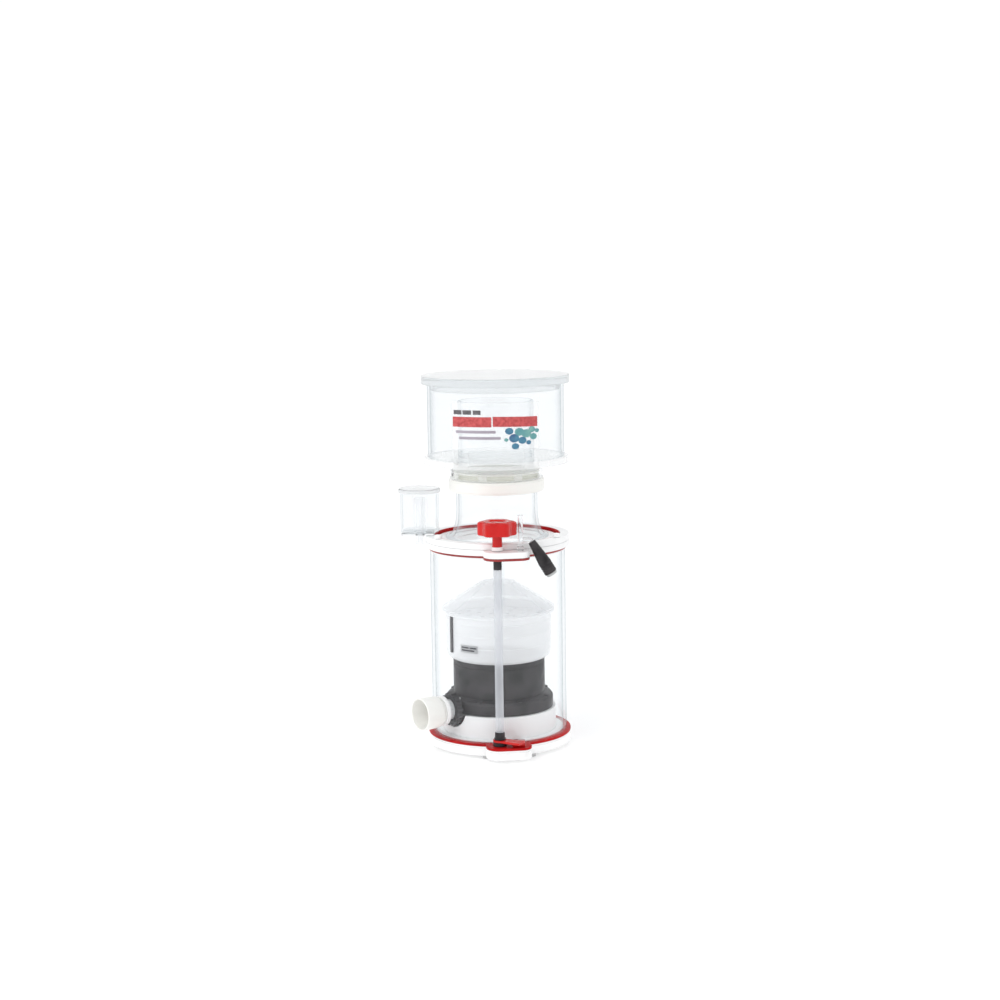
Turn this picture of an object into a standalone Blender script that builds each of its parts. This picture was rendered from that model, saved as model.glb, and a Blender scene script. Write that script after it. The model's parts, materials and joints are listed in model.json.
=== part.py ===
"""Protein skimmer with its pump inside the body: collection cup, bell neck, clear body tube, valve rod and base.

Millimetres are used throughout and turned into metres by MM. +Z is up, the front (valve knob) faces -Y,
and the origin is the centre of the middle rubber foot's underside. Run with: blender --background --python part.py
"""

import math

import bmesh
import bpy
from mathutils import Matrix, Vector

MM = 0.001
GAP = 0.3            # clearance kept between pieces that touch
WIDE, BIG, MEDIUM, SMALL = 48, 40, 18, 10   # facets round the rims, large, medium and small pieces

# ---- driving dimensions -------------------------------------------------------------------------
TUBE_R, TUBE_WALL = 100.0, 5.0    # body tube and collection cup share one acrylic tube size
PLATE_R = 106.0                   # foot plate, flanges and cup floor
LID_R = 108.5
CAP_R = 92.0                      # red plate bonded to the bell neck
NECK_R, NECK_WALL = 60.0, 3.5     # bell neck
RISER_R, RISER_WALL = 55.5, 3.5   # cup's own riser, which slides inside the neck
COLLAR_R = 70.5
FLANGE_BORE = 62.0

FEET_TOP = 5.0
FOOT_TOP = 16.5                   # clear foot plate
TRIM_TOP = 22.7                   # red trim plate above it
STAND_TOP = 56.0                  # white ring that carries the pump
HOUSING_TOP = 131.0               # black pump housing
DRUM_TOP = 203.0                  # translucent mixing drum
DOME_TOP = 243.0
BODY_TOP = 293.0                  # top of the body tube
SEAL_TOP = 298.0
CLAMP_TOP = 307.0
CAP_TOP = 311.0
RIM_TOP = 316.0
COLLAR_BOTTOM, COLLAR_TOP = 380.0, 398.0
SPIGOT_BOTTOM = 410.0
CUP_FLOOR_BOTTOM, CUP_FLOOR_TOP = 421.0, 431.0
RISER_BOTTOM, RISER_TOP = 384.0, 512.0
CUP_TOP = 538.0
LID_TOP = 550.0

ROD_X, ROD_Y, ROD_R = 0.0, -112.0, 6.0        # valve rod in the front lobe
PORT_X, PORT_Y = 33.0, -112.0                 # air port beside it
HOUSING_R, HOUSING_FLANGE_R = 68.0, 80.0
STAND_R = 84.0
DRUM_R, DRUM_RIM_R = 78.0, 83.0
SILENCER_X, SILENCER_Y, SILENCER_R = -114.0, 0.0, 28.5
SUCTION_DIRECTION = Vector((-0.82, -0.57, 0.0)).normalized()
SUCTION_Z, SUCTION_R = 62.0, 15.0
SEAT_X, SEAT_Y = 27.0, -112.0                 # water outlet in the foot's lobe
GLAND_Y = 84.0                                # pump cable's gland, at the back
DRAIN_X, DRAIN_Y = -58.5, 58.5                # drain under the cup, behind the silencer

BOX_FACES = [(0, 1, 2, 3), (4, 5, 6, 7), (0, 1, 5, 4), (1, 2, 6, 5), (2, 3, 7, 6), (3, 0, 4, 7)]

COLOURS = {
    # name: (red, green, blue, roughness, metallic, alpha)
    "clear_acrylic": (0.93, 0.96, 0.97, 0.05, 0.0, 0.30),
    "frosted_acrylic": (0.88, 0.91, 0.93, 0.35, 0.0, 0.70),
    "red_acrylic": (0.72, 0.03, 0.03, 0.15, 0.0, 1.0),
    "white_pvc": (0.88, 0.89, 0.88, 0.40, 0.0, 1.0),
    "black_plastic": (0.035, 0.032, 0.034, 0.45, 0.0, 1.0),
    "black_rubber": (0.05, 0.05, 0.05, 0.80, 0.0, 1.0),
    "seal_silicone": (0.42, 0.43, 0.34, 0.60, 0.0, 1.0),
    "grey_foam": (0.62, 0.63, 0.62, 0.90, 0.0, 1.0),
    "label_film": (0.92, 0.93, 0.93, 0.35, 0.0, 1.0),
    "ceramic": (0.85, 0.84, 0.80, 0.25, 0.0, 1.0),
    "magnet": (0.10, 0.10, 0.11, 0.35, 0.6, 1.0),
}


# ---- tools --------------------------------------------------------------------------------------
def clear_scene():
    for obj in list(bpy.data.objects):
        bpy.data.objects.remove(obj)


def material(name):
    found = bpy.data.materials.get(name)
    if found:
        return found
    red, green, blue, roughness, metallic, alpha = COLOURS[name]
    made = bpy.data.materials.new(name)
    made.use_nodes = True
    shader = made.node_tree.nodes["Principled BSDF"]
    shader.inputs["Base Color"].default_value = (red, green, blue, 1.0)
    shader.inputs["Roughness"].default_value = roughness
    shader.inputs["Metallic"].default_value = metallic
    shader.inputs["Alpha"].default_value = alpha
    return made


def add_object(name, data, look):
    obj = bpy.data.objects.new(name, data)
    bpy.context.scene.collection.objects.link(obj)
    data.materials.append(material(look))
    return obj


def mesh_object(name, verts, faces, look):
    """A closed mesh from points in millimetres, with its normals turned outwards."""
    mesh = bpy.data.meshes.new(name)
    bm = bmesh.new()
    points = [bm.verts.new(Vector(v) * MM) for v in verts]
    for face in faces:
        bm.faces.new([points[i] for i in face])
    bmesh.ops.recalc_face_normals(bm, faces=bm.faces)
    bm.to_mesh(mesh)
    bm.free()
    mesh.shade_smooth()
    mesh.set_sharp_from_angle(angle=math.radians(35))
    return add_object(name, mesh, look)


def turned_mesh(profiles, segments, place):
    """Points and faces of closed (radius, height) outlines turned about Z, each then moved by place."""
    verts, faces = [], []
    for profile in profiles:
        rings = []
        for radius, height in profile:
            first = len(verts)
            count = 1 if radius == 0 else segments
            for i in range(count):
                angle = 2 * math.pi * i / segments
                point = Vector((radius * math.cos(angle), radius * math.sin(angle), height))
                verts.append(place @ point)
            rings.append([first + i % count for i in range(segments)])
        for here, there in zip(rings, rings[1:] + rings[:1]):
            for i in range(segments):
                j = (i + 1) % segments
                corners = list(dict.fromkeys([here[i], here[j], there[j], there[i]]))
                if len(corners) > 2:
                    faces.append(corners)
    return verts, faces


def turned(name, profile, look, segments=BIG, centre=(0.0, 0.0), direction=None):
    """A turned piece. Its axis is vertical through centre, or direction gives a start point and a way to point."""
    place = Matrix.Translation((centre[0], centre[1], 0.0))
    if direction is not None:
        start, along = direction
        place = Matrix.Translation(start) @ Vector((0, 0, 1)).rotation_difference(along).to_matrix().to_4x4()
    verts, faces = turned_mesh([profile], segments, place)
    return mesh_object(name, verts, faces, look)


def tube_profile(outer, inner, low, high):
    return [(inner, low), (outer, low), (outer, high), (inner, high)]


def rod_profile(radius, low, high):
    return [(0, low), (radius, low), (radius, high), (0, high)]


def tube(name, outer, inner, low, high, look, segments=BIG, centre=(0.0, 0.0)):
    return turned(name, tube_profile(outer, inner, low, high), look, segments, centre)


def rod(name, radius, low, high, look, segments=MEDIUM, centre=(0.0, 0.0)):
    return turned(name, rod_profile(radius, low, high), look, segments, centre)


def circle(x, y, radius, segments):
    step = 2 * math.pi / segments
    return [(x + radius * math.cos(i * step), y + radius * math.sin(i * step)) for i in range(segments)]


def rectangle(x0, y0, x1, y1):
    return [(x0, y0), (x1, y0), (x1, y1), (x0, y1)]


def plate(name, loops, low, high, look):
    """A flat plate from an outline and its holes, as an extruded and filled 2D curve."""
    curve = bpy.data.curves.new(name, "CURVE")
    curve.dimensions = "2D"
    curve.fill_mode = "BOTH"
    curve.extrude = (high - low) / 2 * MM
    for loop in loops:
        spline = curve.splines.new("POLY")
        spline.points.add(len(loop) - 1)
        for point, (x, y) in zip(spline.points, loop):
            point.co = (x * MM, y * MM, 0, 1)
        spline.use_cyclic_u = True
    outline = bpy.data.objects.new(name + "_outline", curve)
    bpy.context.scene.collection.objects.link(outline)
    mesh = bpy.data.meshes.new_from_object(outline.evaluated_get(bpy.context.evaluated_depsgraph_get()))
    bpy.data.objects.remove(outline)
    bm = bmesh.new()
    bm.from_mesh(mesh)
    bmesh.ops.remove_doubles(bm, verts=bm.verts, dist=1e-6)
    bmesh.ops.recalc_face_normals(bm, faces=bm.faces)
    bm.to_mesh(mesh)
    bm.free()
    mesh.materials.clear()
    obj = add_object(name, mesh, look)
    obj.location.z = (low + high) / 2 * MM
    return obj


def far_hit(angle, x, y, radius):
    """How far a ray from the origin at this angle runs before it leaves the circle, or 0 if it misses."""
    along = x * math.cos(angle) + y * math.sin(angle)
    square = along * along - (x * x + y * y - radius * radius)
    return along + math.sqrt(square) if square > 0 else 0.0


def lobed_outline(radius):
    """A disc with the one front lobe that carries the valve rod and the air port."""
    steps = 72
    rod_lobe, port_lobe, spans = 20.0, 16.0, 3
    lobe = [(ROD_X + t * (PORT_X - 3 - ROD_X), ROD_Y, rod_lobe + t * (port_lobe - rod_lobe))
            for t in (i / spans for i in range(spans + 1))]
    outline = []
    for i in range(steps):
        angle = 2 * math.pi * i / steps
        reach = max([radius] + [far_hit(angle, *c) for c in lobe])
        outline.append((reach * math.cos(angle), reach * math.sin(angle)))
    return outline


def combine(obj, other, operation):
    """Adds an exact Boolean with other to obj, and keeps other out of the render."""
    other.hide_render = True
    other.display_type = "WIRE"
    modifier = obj.modifiers.new(operation.lower() + "_" + other.name, "BOOLEAN")
    modifier.operation = operation
    modifier.solver = "EXACT"
    modifier.object = other
    return obj


def cut(obj, cutter):
    return combine(obj, cutter, "DIFFERENCE")


def join(obj, other):
    return combine(obj, other, "UNION")


def box(name, corner_low, corner_high, look):
    (x0, y0, z0), (x1, y1, z1) = corner_low, corner_high
    verts = [(x, y, z) for z in (z0, z1) for x, y in rectangle(x0, y0, x1, y1)]
    return mesh_object(name, verts, BOX_FACES, look)


def turned_group(name, profile, spots, look, segments=SMALL):
    """Identical upright turned pieces, one at each spot, as separate bodies of one object."""
    verts, faces = [], []
    for x, y in spots:
        more_verts, more_faces = turned_mesh([profile], segments, Matrix.Translation((x, y, 0)))
        faces += [[len(verts) + corner for corner in face] for face in more_faces]
        verts += more_verts
    return mesh_object(name, verts, faces, look)


def on_circle(radius, degrees):
    return [(radius * math.cos(math.radians(a)), radius * math.sin(math.radians(a))) for a in degrees]


def curved_sheet(name, inner, outer, low, high, start, end, look, steps=14):
    """A thin sheet wrapped round the body's axis, between two angles in degrees."""
    verts, faces = [], []
    for i in range(steps + 1):
        angle = math.radians(start + (end - start) * i / steps)
        for radius, height in ((inner, low), (outer, low), (outer, high), (inner, high)):
            verts.append((radius * math.cos(angle), radius * math.sin(angle), height))
    for i in range(steps):
        for k in range(4):
            a, b = 4 * i + k, 4 * i + (k + 1) % 4
            faces.append([a, b, b + 4, a + 4])
    faces += [[0, 1, 2, 3], [4 * steps + k for k in range(4)]]
    return mesh_object(name, verts, faces, look)


def pivot(name, place, objects):
    """An empty on a joint's axis, which the pieces that move on it hang from."""
    empty = bpy.data.objects.new(name, None)
    bpy.context.scene.collection.objects.link(empty)
    empty.location = Vector(place) * MM
    bpy.context.view_layer.update()
    for obj in objects:
        obj.parent = empty
        obj.matrix_parent_inverse = empty.matrix_world.inverted()


def along_suction(name, profile, look, segments=MEDIUM):
    """A piece turned about the suction line; heights in its profile are distances from the body's axis."""
    return turned(name, profile, look, segments, direction=(Vector((0, 0, SUCTION_Z)), SUCTION_DIRECTION))


# ---- base ---------------------------------------------------------------------------------------
def build_base():
    """Rubber feet, clear foot plate with the outlet channel, red trim with its two slots, pump stand."""
    foot_spots = {"middle": (0, 0), "left": (-17, -94), "right": (44, -86), "back": (0, 94)}
    for side, spot in foot_spots.items():
        rod(f"{side}_foot", 8.0, 0, FEET_TOP, "black_rubber", SMALL, spot)
    foot = plate("foot_plate", [lobed_outline(PLATE_R)], FEET_TOP + GAP, FOOT_TOP, "clear_acrylic")
    channel_floor = FOOT_TOP - 7
    cut(foot, box("channel_cutter", (20, -118, channel_floor), (34, -79, FOOT_TOP + 5), "clear_acrylic"))
    inner_slot = rectangle(18, -86, 36, -80)
    outer_slot = rectangle(SEAT_X - 6, SEAT_Y - 5, SEAT_X + 6, SEAT_Y + 5)
    plate("base_trim", [lobed_outline(PLATE_R), inner_slot, outer_slot], FOOT_TOP + GAP, TRIM_TOP - GAP,
          "red_acrylic")
    seat_outer = rectangle(SEAT_X - 9, SEAT_Y - 8, SEAT_X + 9, SEAT_Y + 8)
    plate("outlet_seat", [seat_outer, outer_slot], TRIM_TOP, TRIM_TOP + 5.5, "red_acrylic")
    stand = tube("pump_stand", STAND_R, 70, TRIM_TOP, STAND_TOP, "white_pvc")
    cut(stand, along_suction("stand_cutter", rod_profile(SUCTION_R + 12, 50, 100), "white_pvc"))


def build_body_tube():
    """Clear tube with the hole that the suction line passes through."""
    body = tube("body_tube", TUBE_R, TUBE_R - TUBE_WALL, TRIM_TOP, BODY_TOP - GAP, "clear_acrylic")
    cut(body, along_suction("body_cutter", rod_profile(SUCTION_R + GAP, 60, 130), "clear_acrylic"))


# ---- pump ---------------------------------------------------------------------------------------
def build_pump():
    """Upright needle-wheel pump: housing, potted stator, fixed ceramic shaft, rotor and drilled cover."""
    floor, wall = STAND_TOP + GAP, 4.0
    top = HOUSING_TOP - GAP
    profile = [(0, floor), (HOUSING_FLANGE_R, floor), (HOUSING_FLANGE_R, floor + 15),
               (HOUSING_FLANGE_R - 3, floor + 19), (HOUSING_R, floor + 22), (HOUSING_R, top),
               (HOUSING_R - wall, top), (HOUSING_R - wall, floor + wall), (0, floor + wall)]
    housing = turned("pump_housing", profile, "black_plastic")
    cut(housing, along_suction("housing_cutter", rod_profile(SUCTION_R + GAP, 50, 100), "black_plastic"))

    block_low, well_low, block_top = floor + wall + GAP, floor + 10, floor + 48
    turned("stator_block", [(0, block_low), (38, block_low), (38, block_top), (14, block_top),
                            (14, well_low), (0, well_low)], "black_plastic", MEDIUM)
    shaft_top = HOUSING_TOP - 4.5
    rod("rotor_shaft", 2.5, well_low + GAP, shaft_top, "ceramic", SMALL)
    tube("lower_bush", 8.0, 2.8, well_low + GAP, well_low + 3.5, "ceramic", SMALL)
    tube("upper_bush", 7.0, 2.8, shaft_top - 5, shaft_top, "ceramic", SMALL)
    wheel_low = block_top - 3
    tube("rotor_magnet", 12.5, 2.8, well_low + 4, wheel_low - GAP, "magnet", 20)
    build_needle_wheel(wheel_low, shaft_top - 6)
    pivot("rotor_axis", (0, 0, wheel_low), [bpy.data.objects["rotor_magnet"], bpy.data.objects["needle_wheel"]])
    cover_holes = [circle(x, y, 11, 12) for x, y in on_circle(40, range(0, 360, 60))]
    plate("pump_cover", [circle(0, 0, HOUSING_R - wall - GAP, BIG)] + cover_holes, shaft_top + GAP,
          top, "black_plastic")


def build_needle_wheel(hub_low, hub_top):
    """Impeller disc with three rings of pins, which chop the air into fine bubbles."""
    disc_low, disc_top, pin_top = hub_low + 7, hub_low + 10, hub_top - 1.5
    wheel = turned("needle_wheel", [(2.8, hub_low), (9, hub_low), (9, disc_low), (34, disc_low),
                                    (34, disc_top), (9, disc_top), (9, hub_top), (2.8, hub_top)],
                   "white_pvc", MEDIUM)
    spots = [spot for ring_r, count in ((15.0, 7), (22.5, 10), (30.0, 14))
             for spot in on_circle(ring_r, [360 * i / count for i in range(count)])]
    join(wheel, turned_group("wheel_pins", rod_profile(1.3, disc_top - 1, pin_top), spots, "white_pvc", 5))


def build_mixing_drum():
    """Translucent drum over the pump, the perforated bubble plate inside it, and the cone on its rim."""
    wall, rim_low = 3.0, DRUM_TOP - 4
    inside = DRUM_R - wall
    turned("mixing_drum", [(65, HOUSING_TOP), (70, HOUSING_TOP), (75.5, HOUSING_TOP + 4),
                           (DRUM_R, HOUSING_TOP + 11), (DRUM_R, rim_low), (DRUM_RIM_R, rim_low),
                           (DRUM_RIM_R, DRUM_TOP - GAP), (inside, DRUM_TOP - GAP), (inside, HOUSING_TOP + 12),
                           (73, HOUSING_TOP + 7), (69, HOUSING_TOP + wall), (65, HOUSING_TOP + wall)],
           "frosted_acrylic")
    brim = DRUM_TOP + 3.5
    turned("drum_cone", [(79, DRUM_TOP), (DRUM_RIM_R, DRUM_TOP), (DRUM_RIM_R, brim), (26, DOME_TOP),
                         (23, DOME_TOP), (23, DOME_TOP - 1.5), (79, brim - 1)], "clear_acrylic")
    holes = [circle(x, y, 4.5, 6) for ring_r, count in ((24, 6), (44, 11), (64, 16))
             for x, y in on_circle(ring_r, [360 * i / count for i in range(count)])]
    plate("bubble_plate", [circle(0, 0, inside - 0.5, BIG)] + holes, DRUM_TOP - 16, DRUM_TOP - 13,
          "frosted_acrylic")


# ---- suction line -------------------------------------------------------------------------------
def build_suction():
    """Pipe from the pump housing through the body wall, its union nut, wall washer and outer spout."""
    r = SUCTION_R
    along_suction("suction_pipe", tube_profile(r, r - 3, 66, 116), "white_pvc")
    build_union_nut(r + GAP, 81.0, 90.5)
    along_suction("wall_washer", tube_profile(22, r + GAP, TUBE_R + 0.5, TUBE_R + 6.5), "white_pvc")
    low = TUBE_R + 7
    along_suction("suction_spout", [(r + GAP, low), (20, low), (23, low + 6), (24.5, 141), (22, 141),
                                    (20.5, low + 8), (18, low + 6), (r + GAP, low + 6)], "white_pvc")


def build_union_nut(bore, low, high):
    """Ribbed nut round the suction line, with its own round bore."""
    ribs, mean_r, rib_height = 14, 23.4, 1.0
    steps = ribs * 4
    verts, faces = [], []
    for distance in (low, high):
        for i in range(steps):
            angle = 2 * math.pi * i / steps
            radius = mean_r + (rib_height if i % 4 < 2 else -rib_height)
            verts.append(Vector((radius * math.cos(angle), radius * math.sin(angle), distance)))
        for i in range(steps):
            angle = 2 * math.pi * i / steps
            verts.append(Vector((bore * math.cos(angle), bore * math.sin(angle), distance)))
    low_out, low_in, high_out, high_in = 0, steps, 2 * steps, 3 * steps
    for i in range(steps):
        j = (i + 1) % steps
        for a, b in ((low_out, low_in), (high_in, high_out), (low_in, high_in), (high_out, low_out)):
            faces.append([a + i, a + j, b + j, b + i])
    turn = Vector((0, 0, 1)).rotation_difference(SUCTION_DIRECTION).to_matrix()
    centre = Vector((0, 0, SUCTION_Z))
    nut = mesh_object("union_nut", [turn @ v + centre for v in verts], faces, "black_plastic")
    pivot("union_axis", SUCTION_DIRECTION * low + centre, [nut])


# ---- flanges and neck ---------------------------------------------------------------------------
def build_flanges():
    """Red seal plate, white clamp flange, red cap plate and the white rim ring that holds it down."""
    rod_hole = circle(ROD_X, ROD_Y, 4.0, SMALL)
    port_hole = circle(PORT_X, PORT_Y, 3.4, SMALL)
    gland_hole = circle(0, GLAND_Y, 4.5, SMALL)
    bore = circle(0, 0, FLANGE_BORE, BIG)
    screw_spots = on_circle(99, (-30, 90, 210))
    screw_holes = [circle(x, y, 2.8, 10) for x, y in screw_spots]
    plate("seal_plate", [lobed_outline(TUBE_R + 1.5), circle(0, 0, 88, BIG), rod_hole], BODY_TOP,
          SEAL_TOP - GAP, "red_acrylic")
    plate("clamp_flange", [lobed_outline(PLATE_R), bore, rod_hole, port_hole, gland_hole] + screw_holes,
          SEAL_TOP, CLAMP_TOP - GAP, "white_pvc")
    plate("cap_plate", [circle(0, 0, CAP_R, WIDE), bore, gland_hole], CLAMP_TOP, CAP_TOP - GAP, "red_acrylic")
    rim = plate("rim_ring", [circle(0, 0, PLATE_R, WIDE), circle(0, 0, CAP_R + 0.6, WIDE)] + screw_holes,
                CLAMP_TOP, RIM_TOP - GAP, "white_pvc")
    cut(rim, rod("stem_relief", 8.5, CLAMP_TOP - 5, RIM_TOP + 5, "white_pvc", MEDIUM, (ROD_X, ROD_Y)))
    head = RIM_TOP + 4.5
    screw = [(0, SEAL_TOP + 2), (2.4, SEAL_TOP + 2), (2.4, RIM_TOP), (5.5, RIM_TOP), (5.5, head),
             (4.5, head + 1), (0, head + 1)]
    for number, spot in enumerate(screw_spots):
        turned(f"flange_screw_{number + 1}", screw, "white_pvc", SMALL, spot)
    turned("cable_gland", [(2.5, CAP_TOP - 3), (4.2, CAP_TOP - 3), (4.2, CAP_TOP), (7, CAP_TOP),
                           (7, CAP_TOP + 5), (5.5, CAP_TOP + 6), (4.5, CAP_TOP + 12), (2.5, CAP_TOP + 12)],
           "black_plastic", SMALL, (0, GLAND_Y))


def flare(radius_top, radius_foot, z_foot, z_top, steps=5):
    """Points of a bell flare, from its foot up to the straight neck, as an elliptical quarter arc."""
    points = []
    for i in range(steps + 1):
        angle = math.pi / 2 * i / steps
        points.append((radius_foot - (radius_foot - radius_top) * math.sin(angle),
                       z_top - (z_top - z_foot) * math.cos(angle)))
    return points


def build_neck():
    """Clear bell neck, its white collar, the silicone seal and the windowed lock ring round it."""
    foot_r, foot_low, foot_high = 72.0, CAP_TOP, CAP_TOP + 3
    bend_top, neck_top = 354.0, COLLAR_TOP - 2
    outer = [(foot_r + 4, foot_low), (foot_r + 4, foot_high)] + flare(NECK_R, foot_r, foot_high, bend_top)
    inner_r = NECK_R - NECK_WALL
    inner = flare(inner_r, foot_r - 5, foot_low, bend_top)[::-1]
    turned("neck_bell", outer + [(NECK_R, neck_top), (inner_r, neck_top)] + inner, "clear_acrylic")
    tube("neck_collar", COLLAR_R, NECK_R + GAP, COLLAR_BOTTOM, COLLAR_TOP, "white_pvc")
    seal_low = COLLAR_TOP + GAP
    tube("neck_seal", 63.0, RISER_R + 0.5, seal_low, SPIGOT_BOTTOM - GAP, "seal_silicone")
    ring = tube("lock_ring", 68.5, 64.8, seal_low, SPIGOT_BOTTOM - GAP, "frosted_acrylic")
    windows, low, high = 8, seal_low + 2.2, SPIGOT_BOTTOM - 2.2
    verts, faces = [], []
    for i in range(windows):
        turn = Matrix.Rotation(2 * math.pi * (i + 0.12) / windows, 4, "Z")
        first = len(verts)
        verts += [turn @ Vector((x, y, z)) for z in (low, high) for x, y in rectangle(58, -20, 76, 20)]
        faces += [[first + k for k in face] for face in BOX_FACES]
    cut(ring, mesh_object("window_cutter", verts, faces, "frosted_acrylic"))


# ---- collection cup -----------------------------------------------------------------------------
def build_cup():
    """Cup floor with the spigot that sits on the seal, wall, riser, drain with its cap, and label."""
    floor_bore, floor_low = RISER_R + GAP, CUP_FLOOR_BOTTOM - GAP
    floor = turned("cup_floor", [(floor_bore, SPIGOT_BOTTOM), (64, SPIGOT_BOTTOM), (64, CUP_FLOOR_BOTTOM),
                                 (PLATE_R, CUP_FLOOR_BOTTOM), (PLATE_R, CUP_FLOOR_TOP - GAP),
                                 (floor_bore, CUP_FLOOR_TOP - GAP)], "clear_acrylic", WIDE)
    cut(floor, rod("drain_cutter", 5.0, SPIGOT_BOTTOM, CUP_FLOOR_TOP + 5, "clear_acrylic", SMALL,
                   (DRAIN_X, DRAIN_Y)))
    tube("cup_wall", TUBE_R, TUBE_R - TUBE_WALL + 1, CUP_FLOOR_TOP, CUP_TOP, "clear_acrylic")
    tube("cup_riser", RISER_R, RISER_R - RISER_WALL, RISER_BOTTOM, RISER_TOP, "clear_acrylic")
    tip = floor_low - 25
    barb = [(4.4, tip), (5.6, tip), (6.6, tip + 4), (5.6, tip + 4), (5.6, tip + 8), (6.6, tip + 12),
            (5.6, tip + 12), (5.6, floor_low - 5), (10, floor_low - 5), (10, floor_low), (4.4, floor_low)]
    turned("drain_barb", barb, "white_pvc", SMALL, (DRAIN_X, DRAIN_Y))
    cap = [(0, tip - 3), (9, tip - 3), (9, tip + 9), (7.2, tip + 9), (7.2, tip - 1), (0, tip - 1)]
    turned("drain_cap", cap, "black_plastic", SMALL, (DRAIN_X, DRAIN_Y))
    curved_sheet("cup_label", TUBE_R + GAP, TUBE_R + GAP + 0.6, 449, 517, -128, -52, "label_film")


def build_lid():
    """Lid, with a ring underneath that locates it inside the cup."""
    low, lip_low, lip_r = CUP_TOP + GAP, CUP_TOP - 9, TUBE_R - TUBE_WALL
    turned("cup_lid", [(lip_r - 5, lip_low), (lip_r, lip_low), (lip_r, low), (LID_R, low), (LID_R, LID_TOP),
                       (0, LID_TOP), (0, low), (lip_r - 5, low)], "clear_acrylic", WIDE)


# ---- water valve --------------------------------------------------------------------------------
def build_valve():
    """Knob, spindle and clear rod that turn the flap over the outlet in the foot's lobe."""
    spot = (ROD_X, ROD_Y)
    seat_top = TRIM_TOP + 5.5
    tube("foot_bearing", 10.0, ROD_R + GAP, TRIM_TOP, seat_top, "black_plastic", MEDIUM, spot)
    flap_low, flap_top = seat_top + 0.5, seat_top + 3.5
    hub = circle(ROD_X, ROD_Y, ROD_R + GAP, MEDIUM)
    flap = plate("outlet_flap", [flap_outline(), hub], flap_low, flap_top, "red_acrylic")
    collar = tube("rod_collar", 8.4, ROD_R + GAP, flap_top + GAP, 43, "black_plastic", MEDIUM, spot)
    coupling_low, coupling_top, knob_low, knob_high = 280.0, BODY_TOP - 0.6, 330.0, 350.0
    bar = rod("valve_rod", ROD_R, TRIM_TOP + 0.5, coupling_low - GAP, "clear_acrylic", MEDIUM, spot)
    coupling = turned("rod_coupling", [(0, coupling_low), (6, coupling_low), (6, coupling_top),
                                       (3, coupling_top), (3, knob_high - 6), (0, knob_high - 6)],
                      "black_plastic", MEDIUM, spot)
    lobes, steps, mean_r, lobe_depth = 6, 60, 25.8, 2.2
    outline = []
    for i in range(steps):
        angle = 2 * math.pi * i / steps
        reach = mean_r + lobe_depth * math.cos(lobes * angle)
        outline.append((ROD_X + reach * math.cos(angle), ROD_Y + reach * math.sin(angle)))
    knob = plate("valve_knob", [outline], knob_low, knob_high, "red_acrylic")
    join(knob, rod("knob_stem", 7.0, CLAMP_TOP + 0.4, knob_low + 2, "red_acrylic", MEDIUM, spot))
    cut(knob, rod("knob_bore", 3.3, CLAMP_TOP - 5, knob_high - 5.5, "red_acrylic", MEDIUM, spot))
    pivot("valve_axis", (ROD_X, ROD_Y, 0), [flap, collar, bar, coupling, knob])


def flap_outline():
    """A hub with one arm, resting 30 degrees short of the outlet so that the valve stands part open."""
    hub_r, arm_length, arm_half, rest = 10.0, 36.0, 8.5, math.radians(-30)
    start = math.asin(arm_half / hub_r)
    points = [(arm_length, -arm_half), (arm_length, arm_half)]
    steps = 16
    for i in range(steps + 1):
        angle = start + (2 * math.pi - 2 * start) * i / steps
        points.append((hub_r * math.cos(angle), hub_r * math.sin(angle)))
    c, s = math.cos(rest), math.sin(rest)
    return [(ROD_X + x * c - y * s, ROD_Y + x * s + y * c) for x, y in points]


# ---- air line -----------------------------------------------------------------------------------
def pipe(name, route, radius, look, resolution=3):
    """A round bar that follows a smooth curve through the route's points."""
    curve = bpy.data.curves.new(name, "CURVE")
    curve.dimensions = "3D"
    curve.bevel_depth = radius * MM
    curve.bevel_resolution = resolution
    curve.use_fill_caps = True
    places = [Vector(p) for p in route]
    ends = [places[0] * 2 - places[1]] + places + [places[-1] * 2 - places[-2]]
    per_span, smooth = 3, []
    for a, b, c, d in zip(ends, ends[1:], ends[2:], ends[3:]):
        for t in (i / per_span for i in range(per_span)):
            smooth.append(0.5 * (2 * b + (c - a) * t + (2 * a - 5 * b + 4 * c - d) * t * t
                                 + (3 * b - a - 3 * c + d) * t ** 3))
    smooth.append(places[-1])
    spline = curve.splines.new("POLY")
    spline.points.add(len(smooth) - 1)
    for point, place in zip(spline.points, smooth):
        point.co = (*(place * MM), 1)
    return add_object(name, curve, look)


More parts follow.
